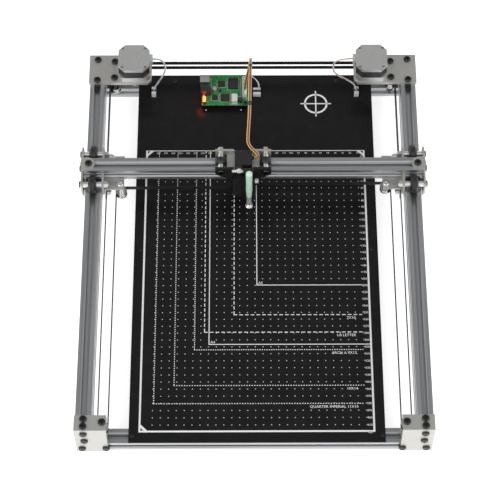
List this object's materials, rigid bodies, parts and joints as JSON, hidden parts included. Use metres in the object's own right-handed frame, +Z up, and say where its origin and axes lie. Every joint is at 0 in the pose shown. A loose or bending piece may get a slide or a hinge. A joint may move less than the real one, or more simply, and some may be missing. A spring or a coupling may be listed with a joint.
{
  "type": "pen plotter",
  "caption": "Desktop drawing machine: a pen carriage on a cross beam runs on slotted rails, moved by two crossed belts over a black printed bed.",
  "frame": {"origin": "on the table, under the middle of the machine", "axes": "+Z up, +Y to the rear where the motors are, +X to the right seen from the front"},
  "size_m": [0.459, 0.568, 0.1706],
  "materials": {
    "anodised_rail": "anodised, fine extrusion lines",
    "milled_bracket": "bead blasted and anodised",
    "black_plate": "black anodised",
    "printed_bed": "glossy black with a printed white layout",
    "black_plastic": "moulded",
    "motor_metal": "cast end bells, black stator",
    "pulley_metal": "turned",
    "wheel_plastic": "turned acetal",
    "belt_rubber": "fibre reinforced belt",
    "bolt_steel": "black oxide bolts, bright nuts and spacers",
    "board_green": "solder mask",
    "board_parts": "sockets, headers and chips",
    "lead_insulation": "thin insulation",
    "servo_case": "moulded",
    "horn_plastic": "moulded",
    "carrier_plastic": "moulded",
    "pen_body": "pale green barrel",
    "screw_steel": "knurled"
  },
  "bodies": {
    "frame": {"side_rail_left": "anodised_rail", "side_rail_right": "anodised_rail", "front_rail": "anodised_rail", "rear_rail": "anodised_rail", "front_corner_left": "milled_bracket", "front_corner_right": "milled_bracket", "rear_bracket_left": "milled_bracket", "rear_bracket_right": "milled_bracket", "bed_plate": "printed_bed", "bed_legs": "black_plastic", "motor_left": "motor_metal", "motor_right": "motor_metal", "frame_fasteners": "bolt_steel", "belt_loop_left": "belt_rubber", "belt_loop_right": "belt_rubber", "belt_side_runs": "belt_rubber", "control_board": "board_green", "board_parts": "board_parts", "motor_leads": "lead_insulation", "lead_plugs": "board_parts", "servo_lead": "lead_insulation"},
    "gantry": {"gantry_beam": "anodised_rail", "outer_bracket_left": "milled_bracket", "outer_bracket_right": "milled_bracket", "inner_bracket_left": "milled_bracket", "inner_bracket_right": "milled_bracket", "gantry_fasteners": "bolt_steel", "belt_beam_runs": "belt_rubber"},
    "carriage": {"carriage_front_plate": "black_plate", "carriage_bracket": "milled_bracket", "carriage_fasteners": "bolt_steel", "servo": "servo_case", "slide_rail": "black_plate"},
    "pen_holder": {"pen_carrier": "carrier_plastic", "pen": "pen_body"},
    "clamp_screw": {"pen_clamp_screw": "screw_steel"},
    "horn": {"servo_horn": "horn_plastic"},
    "gantry_wheel_left_front": {"gantry_wheel_left_front": "wheel_plastic"},
    "gantry_wheel_left_rear": {"gantry_wheel_left_rear": "wheel_plastic"},
    "gantry_wheel_left_lower": {"gantry_wheel_left_lower": "wheel_plastic"},
    "gantry_wheel_right_front": {"gantry_wheel_right_front": "wheel_plastic"},
    "gantry_wheel_right_rear": {"gantry_wheel_right_rear": "wheel_plastic"},
    "gantry_wheel_right_lower": {"gantry_wheel_right_lower": "wheel_plastic"},
    "carriage_wheel_left": {"carriage_wheel_left": "wheel_plastic"},
    "carriage_wheel_right": {"carriage_wheel_right": "wheel_plastic"},
    "carriage_wheel_lower": {"carriage_wheel_lower": "wheel_plastic"},
    "gantry_idler_front_left": {"gantry_idler_front_left": "pulley_metal"},
    "gantry_idler_rear_left": {"gantry_idler_rear_left": "pulley_metal"},
    "front_idler_left": {"front_idler_left": "pulley_metal"},
    "rear_idler_feed_left": {"rear_idler_feed_left": "pulley_metal"},
    "rear_idler_own_left": {"rear_idler_own_left": "pulley_metal"},
    "rear_idler_cross_left": {"rear_idler_cross_left": "pulley_metal"},
    "motor_pulley_left": {"motor_pulley_left": "pulley_metal"},
    "gantry_idler_front_right": {"gantry_idler_front_right": "pulley_metal"},
    "gantry_idler_rear_right": {"gantry_idler_rear_right": "pulley_metal"},
    "front_idler_right": {"front_idler_right": "pulley_metal"},
    "rear_idler_feed_right": {"rear_idler_feed_right": "pulley_metal"},
    "rear_idler_own_right": {"rear_idler_own_right": "pulley_metal"},
    "rear_idler_cross_right": {"rear_idler_cross_right": "pulley_metal"},
    "motor_pulley_right": {"motor_pulley_right": "pulley_metal"}
  },
  "joints": [
    {"name": "gantry_y", "type": "slide", "parent": "frame", "child": "gantry", "axis": [0, 1, 0], "range_m": [-0.315, 0.097], "deforming": ["belt_side_runs", "servo_lead"]},
    {"name": "carriage_x", "type": "slide", "parent": "gantry", "child": "carriage", "axis": [1, 0, 0], "range_m": [-0.131, 0.157], "deforming": ["belt_beam_runs", "servo_lead"]},
    {"name": "pen_lift", "type": "slide", "parent": "carriage", "child": "pen_holder", "axis": [0, 0, 1], "range_m": [-0.0008, 0.005]},
    {"name": "horn_turn", "type": "hinge", "parent": "carriage", "child": "horn", "pos_m": [-0.0184, 0.0808, 0.0951], "axis": [0, -1, 0], "range_deg": [-6, 36]},
    {"name": "clamp_screw_turn", "type": "hinge", "parent": "pen_holder", "child": "clamp_screw", "pos_m": [0.0025, 0.0662, 0.085], "axis": [1, 0, 0], "range_deg": [-360, 0]},
    {"name": "gantry_wheel_left_front_spin", "type": "hinge", "parent": "gantry", "child": "gantry_wheel_left_front", "pos_m": [-0.2117, 0.0689, 0.07257], "axis": [1, 0, 0], "range_deg": [-505, 1629]},
    {"name": "gantry_wheel_left_rear_spin", "type": "hinge", "parent": "gantry", "child": "gantry_wheel_left_rear", "pos_m": [-0.2117, 0.1155, 0.07257], "axis": [1, 0, 0], "range_deg": [-505, 1629]},
    {"name": "gantry_wheel_left_lower_spin", "type": "hinge", "parent": "gantry", "child": "gantry_wheel_left_lower", "pos_m": [-0.2117, 0.0922, 0.01583], "axis": [1, 0, 0], "range_deg": [-2694, 833]},
    {"name": "gantry_wheel_right_front_spin", "type": "hinge", "parent": "gantry", "child": "gantry_wheel_right_front", "pos_m": [0.2117, 0.0689, 0.07257], "axis": [1, 0, 0], "range_deg": [-505, 1629]},
    {"name": "gantry_wheel_right_rear_spin", "type": "hinge", "parent": "gantry", "child": "gantry_wheel_right_rear", "pos_m": [0.2117, 0.1155, 0.07257], "axis": [1, 0, 0], "range_deg": [-505, 1629]},
    {"name": "gantry_wheel_right_lower_spin", "type": "hinge", "parent": "gantry", "child": "gantry_wheel_right_lower", "pos_m": [0.2117, 0.0922, 0.01583], "axis": [1, 0, 0], "range_deg": [-2694, 833]},
    {"name": "carriage_wheel_left_spin", "type": "hinge", "parent": "carriage", "child": "carriage_wheel_left", "pos_m": [-0.0423, 0.0922, 0.09117], "axis": [0, 1, 0], "range_deg": [-1123, 1345]},
    {"name": "carriage_wheel_right_spin", "type": "hinge", "parent": "carriage", "child": "carriage_wheel_right", "pos_m": [0.0161, 0.0922, 0.09117], "axis": [0, 1, 0], "range_deg": [-1123, 1345]},
    {"name": "carriage_wheel_lower_spin", "type": "hinge", "parent": "carriage", "child": "carriage_wheel_lower", "pos_m": [-0.0131, 0.0922, 0.05883], "axis": [0, 1, 0], "range_deg": [-1345, 1123]},
    {"name": "gantry_idler_front_left_spin", "type": "hinge", "parent": "gantry", "child": "gantry_idler_front_left", "pos_m": [-0.1753, 0.0744, 0.044], "axis": [0, 0, 1], "range_deg": [-1367, 1142]},
    {"name": "gantry_idler_rear_left_spin", "type": "hinge", "parent": "gantry", "child": "gantry_idler_rear_left", "pos_m": [-0.1885, 0.1155, 0.0545], "axis": [0, 0, 1], "range_deg": [-1142, 1367]},
    {"name": "front_idler_left_spin", "type": "hinge", "parent": "frame", "child": "front_idler_left", "pos_m": [-0.1885, -0.26995, 0.044], "axis": [0, 0, 1], "range_deg": [-2739, 846]},
    {"name": "rear_idler_feed_left_spin", "type": "hinge", "parent": "frame", "child": "rear_idler_feed_left", "pos_m": [-0.1885, 0.2438, 0.044], "axis": [0, 0, 1], "range_deg": [-2739, 846]},
    {"name": "rear_idler_own_left_spin", "type": "hinge", "parent": "frame", "child": "rear_idler_own_left", "pos_m": [-0.1885, 0.2702, 0.044], "axis": [0, 0, 1], "range_deg": [-2739, 846]},
    {"name": "rear_idler_cross_left_spin", "type": "hinge", "parent": "frame", "child": "rear_idler_cross_left", "pos_m": [-0.1885, 0.2702, 0.0545], "axis": [0, 0, 1], "range_deg": [-846, 2739]},
    {"name": "motor_pulley_left_spin", "type": "hinge", "parent": "frame", "child": "motor_pulley_left", "pos_m": [-0.161, 0.257, 0.044], "axis": [0, 0, 1], "range_deg": [-846, 2739]},
    {"name": "gantry_idler_front_right_spin", "type": "hinge", "parent": "gantry", "child": "gantry_idler_front_right", "pos_m": [0.1753, 0.0744, 0.0545], "axis": [0, 0, 1], "range_deg": [-1367, 1142]},
    {"name": "gantry_idler_rear_right_spin", "type": "hinge", "parent": "gantry", "child": "gantry_idler_rear_right", "pos_m": [0.1885, 0.1155, 0.044], "axis": [0, 0, 1], "range_deg": [-1142, 1367]},
    {"name": "front_idler_right_spin", "type": "hinge", "parent": "frame", "child": "front_idler_right", "pos_m": [0.1885, -0.26995, 0.0545], "axis": [0, 0, 1], "range_deg": [-846, 2739]},
    {"name": "rear_idler_feed_right_spin", "type": "hinge", "parent": "frame", "child": "rear_idler_feed_right", "pos_m": [0.1885, 0.2438, 0.0545], "axis": [0, 0, 1], "range_deg": [-846, 2739]},
    {"name": "rear_idler_own_right_spin", "type": "hinge", "parent": "frame", "child": "rear_idler_own_right", "pos_m": [0.1885, 0.2702, 0.0545], "axis": [0, 0, 1], "range_deg": [-846, 2739]},
    {"name": "rear_idler_cross_right_spin", "type": "hinge", "parent": "frame", "child": "rear_idler_cross_right", "pos_m": [0.1885, 0.2702, 0.044], "axis": [0, 0, 1], "range_deg": [-2739, 846]},
    {"name": "motor_pulley_right_spin", "type": "hinge", "parent": "frame", "child": "motor_pulley_right", "pos_m": [0.161, 0.257, 0.0545], "axis": [0, 0, 1], "range_deg": [-2739, 846]}
  ],
  "couplings": [
    {"joint": "horn_turn", "follows": "pen_lift", "rad_per_m": 125},
    {"joint": "gantry_wheel_left_front_spin", "follows": "gantry_y", "rad_per_m": -90},
    {"joint": "gantry_wheel_left_rear_spin", "follows": "gantry_y", "rad_per_m": -90},
    {"joint": "gantry_wheel_left_lower_spin", "follows": "gantry_y", "rad_per_m": 149},
    {"joint": "gantry_wheel_right_front_spin", "follows": "gantry_y", "rad_per_m": -90},
    {"joint": "gantry_wheel_right_rear_spin", "follows": "gantry_y", "rad_per_m": -90},
    {"joint": "gantry_wheel_right_lower_spin", "follows": "gantry_y", "rad_per_m": 149},
    {"joint": "carriage_wheel_left_spin", "follows": "carriage_x", "rad_per_m": 149},
    {"joint": "carriage_wheel_right_spin", "follows": "carriage_x", "rad_per_m": 149},
    {"joint": "carriage_wheel_lower_spin", "follows": "carriage_x", "rad_per_m": -149},
    {"joint": "gantry_idler_front_left_spin", "follows": "carriage_x", "rad_per_m": -151.5},
    {"joint": "gantry_idler_rear_left_spin", "follows": "carriage_x", "rad_per_m": 151.5},
    {"joint": "front_idler_left_spin", "follows": "gantry_y", "rad_per_m": 151.5},
    {"joint": "rear_idler_feed_left_spin", "follows": "gantry_y", "rad_per_m": 151.5},
    {"joint": "rear_idler_own_left_spin", "follows": "gantry_y", "rad_per_m": 151.5},
    {"joint": "rear_idler_cross_left_spin", "follows": "gantry_y", "rad_per_m": -151.5},
    {"joint": "motor_pulley_left_spin", "follows": "gantry_y", "rad_per_m": -151.5},
    {"joint": "gantry_idler_front_right_spin", "follows": "carriage_x", "rad_per_m": -151.5},
    {"joint": "gantry_idler_rear_right_spin", "follows": "carriage_x", "rad_per_m": 151.5},
    {"joint": "front_idler_right_spin", "follows": "gantry_y", "rad_per_m": -151.5},
    {"joint": "rear_idler_feed_right_spin", "follows": "gantry_y", "rad_per_m": -151.5},
    {"joint": "rear_idler_own_right_spin", "follows": "gantry_y", "rad_per_m": -151.5},
    {"joint": "rear_idler_cross_right_spin", "follows": "gantry_y", "rad_per_m": 151.5},
    {"joint": "motor_pulley_right_spin", "follows": "gantry_y", "rad_per_m": 151.5}
  ]
}
